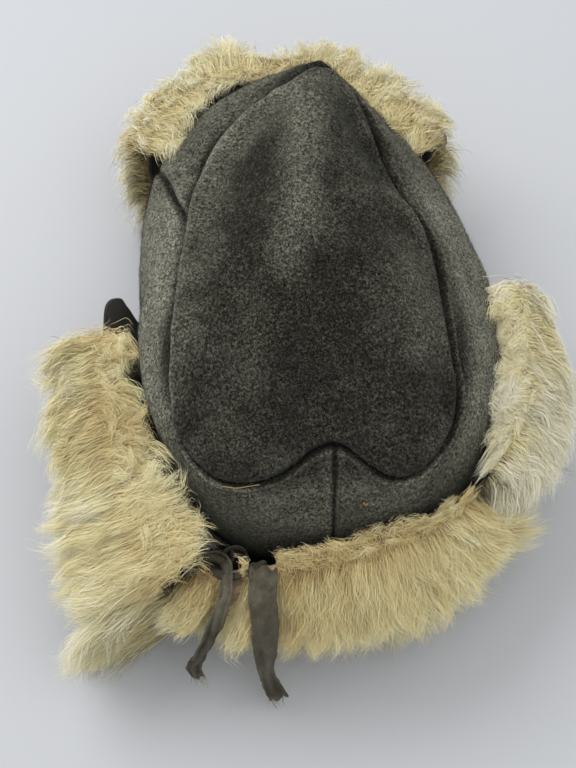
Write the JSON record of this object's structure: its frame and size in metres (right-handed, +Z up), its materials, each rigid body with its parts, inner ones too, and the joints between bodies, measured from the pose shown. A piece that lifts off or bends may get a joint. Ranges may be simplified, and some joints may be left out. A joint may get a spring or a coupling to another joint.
{
  "type": "trapper hat",
  "caption": "Soft oval wool crown with a wadded lining; thick fur flaps fold down from the hem over forehead, ears and neck, with tie tapes at the back.",
  "frame": {"origin": "centre of the head opening, in the plane of the crown's hem", "axes": "+Y towards the front of the hat, +X towards its right side, +Z up"},
  "size_m": [0.2572, 0.3372, 0.1279],
  "materials": {
    "wool_cloth": "felted heather wool, short nap",
    "wadding": "soft carded wadding",
    "lining_cloth": "smooth cotton lining",
    "sweatband_cloth": "worn dark leather",
    "binding_tape": "woven tape",
    "flap_cloth": "dark brushed cotton, slight sheen",
    "pelt_skin": "suede side of a tanned pelt",
    "fur_pile": "long curly wool pile",
    "tie_tape": "cotton twill tape"
  },
  "bodies": {
    "crown": {"crown_top_panel": "wool_cloth", "crown_side_left": "wool_cloth", "crown_side_right": "wool_cloth", "top_wadding": "wadding", "side_wadding": "wadding", "top_lining": "lining_cloth", "side_lining": "lining_cloth", "sweatband": "sweatband_cloth", "hem_binding": "binding_tape"},
    "front_flap": {"front_flap_cloth": "flap_cloth", "front_flap_pelt": "pelt_skin", "front_flap_fur": "fur_pile"},
    "left_flap": {"left_flap_cloth": "flap_cloth", "left_flap_pelt": "pelt_skin", "left_flap_fur": "fur_pile", "left_tie_tab": "tie_tape"},
    "right_flap": {"right_flap_cloth": "flap_cloth", "right_flap_pelt": "pelt_skin", "right_flap_fur": "fur_pile"},
    "neck_flap": {"neck_flap_cloth": "flap_cloth", "neck_flap_pelt": "pelt_skin", "neck_flap_fur": "fur_pile", "right_tie_tab": "tie_tape", "left_tie": "tie_tape", "right_tie": "tie_tape", "tie_knot": "tie_tape"}
  },
  "joints": [
    {"name": "front_flap_fold", "type": "hinge", "parent": "crown", "child": "front_flap", "pos_m": [0, 0.1205, 0], "axis": [-1, 0, 0], "range_deg": [0, 150]},
    {"name": "left_flap_fold", "type": "hinge", "parent": "crown", "child": "left_flap", "pos_m": [-0.0835, -0.05, 0], "axis": [0, -1, 0], "range_deg": [0, 155]},
    {"name": "right_flap_fold", "type": "hinge", "parent": "crown", "child": "right_flap", "pos_m": [0.093, -0.035, 0], "axis": [0, 1, 0], "range_deg": [0, 165]},
    {"name": "neck_flap_fold", "type": "hinge", "parent": "crown", "child": "neck_flap", "pos_m": [0, -0.1205, 0], "axis": [1, 0, 0], "range_deg": [0, 146]}
  ]
}
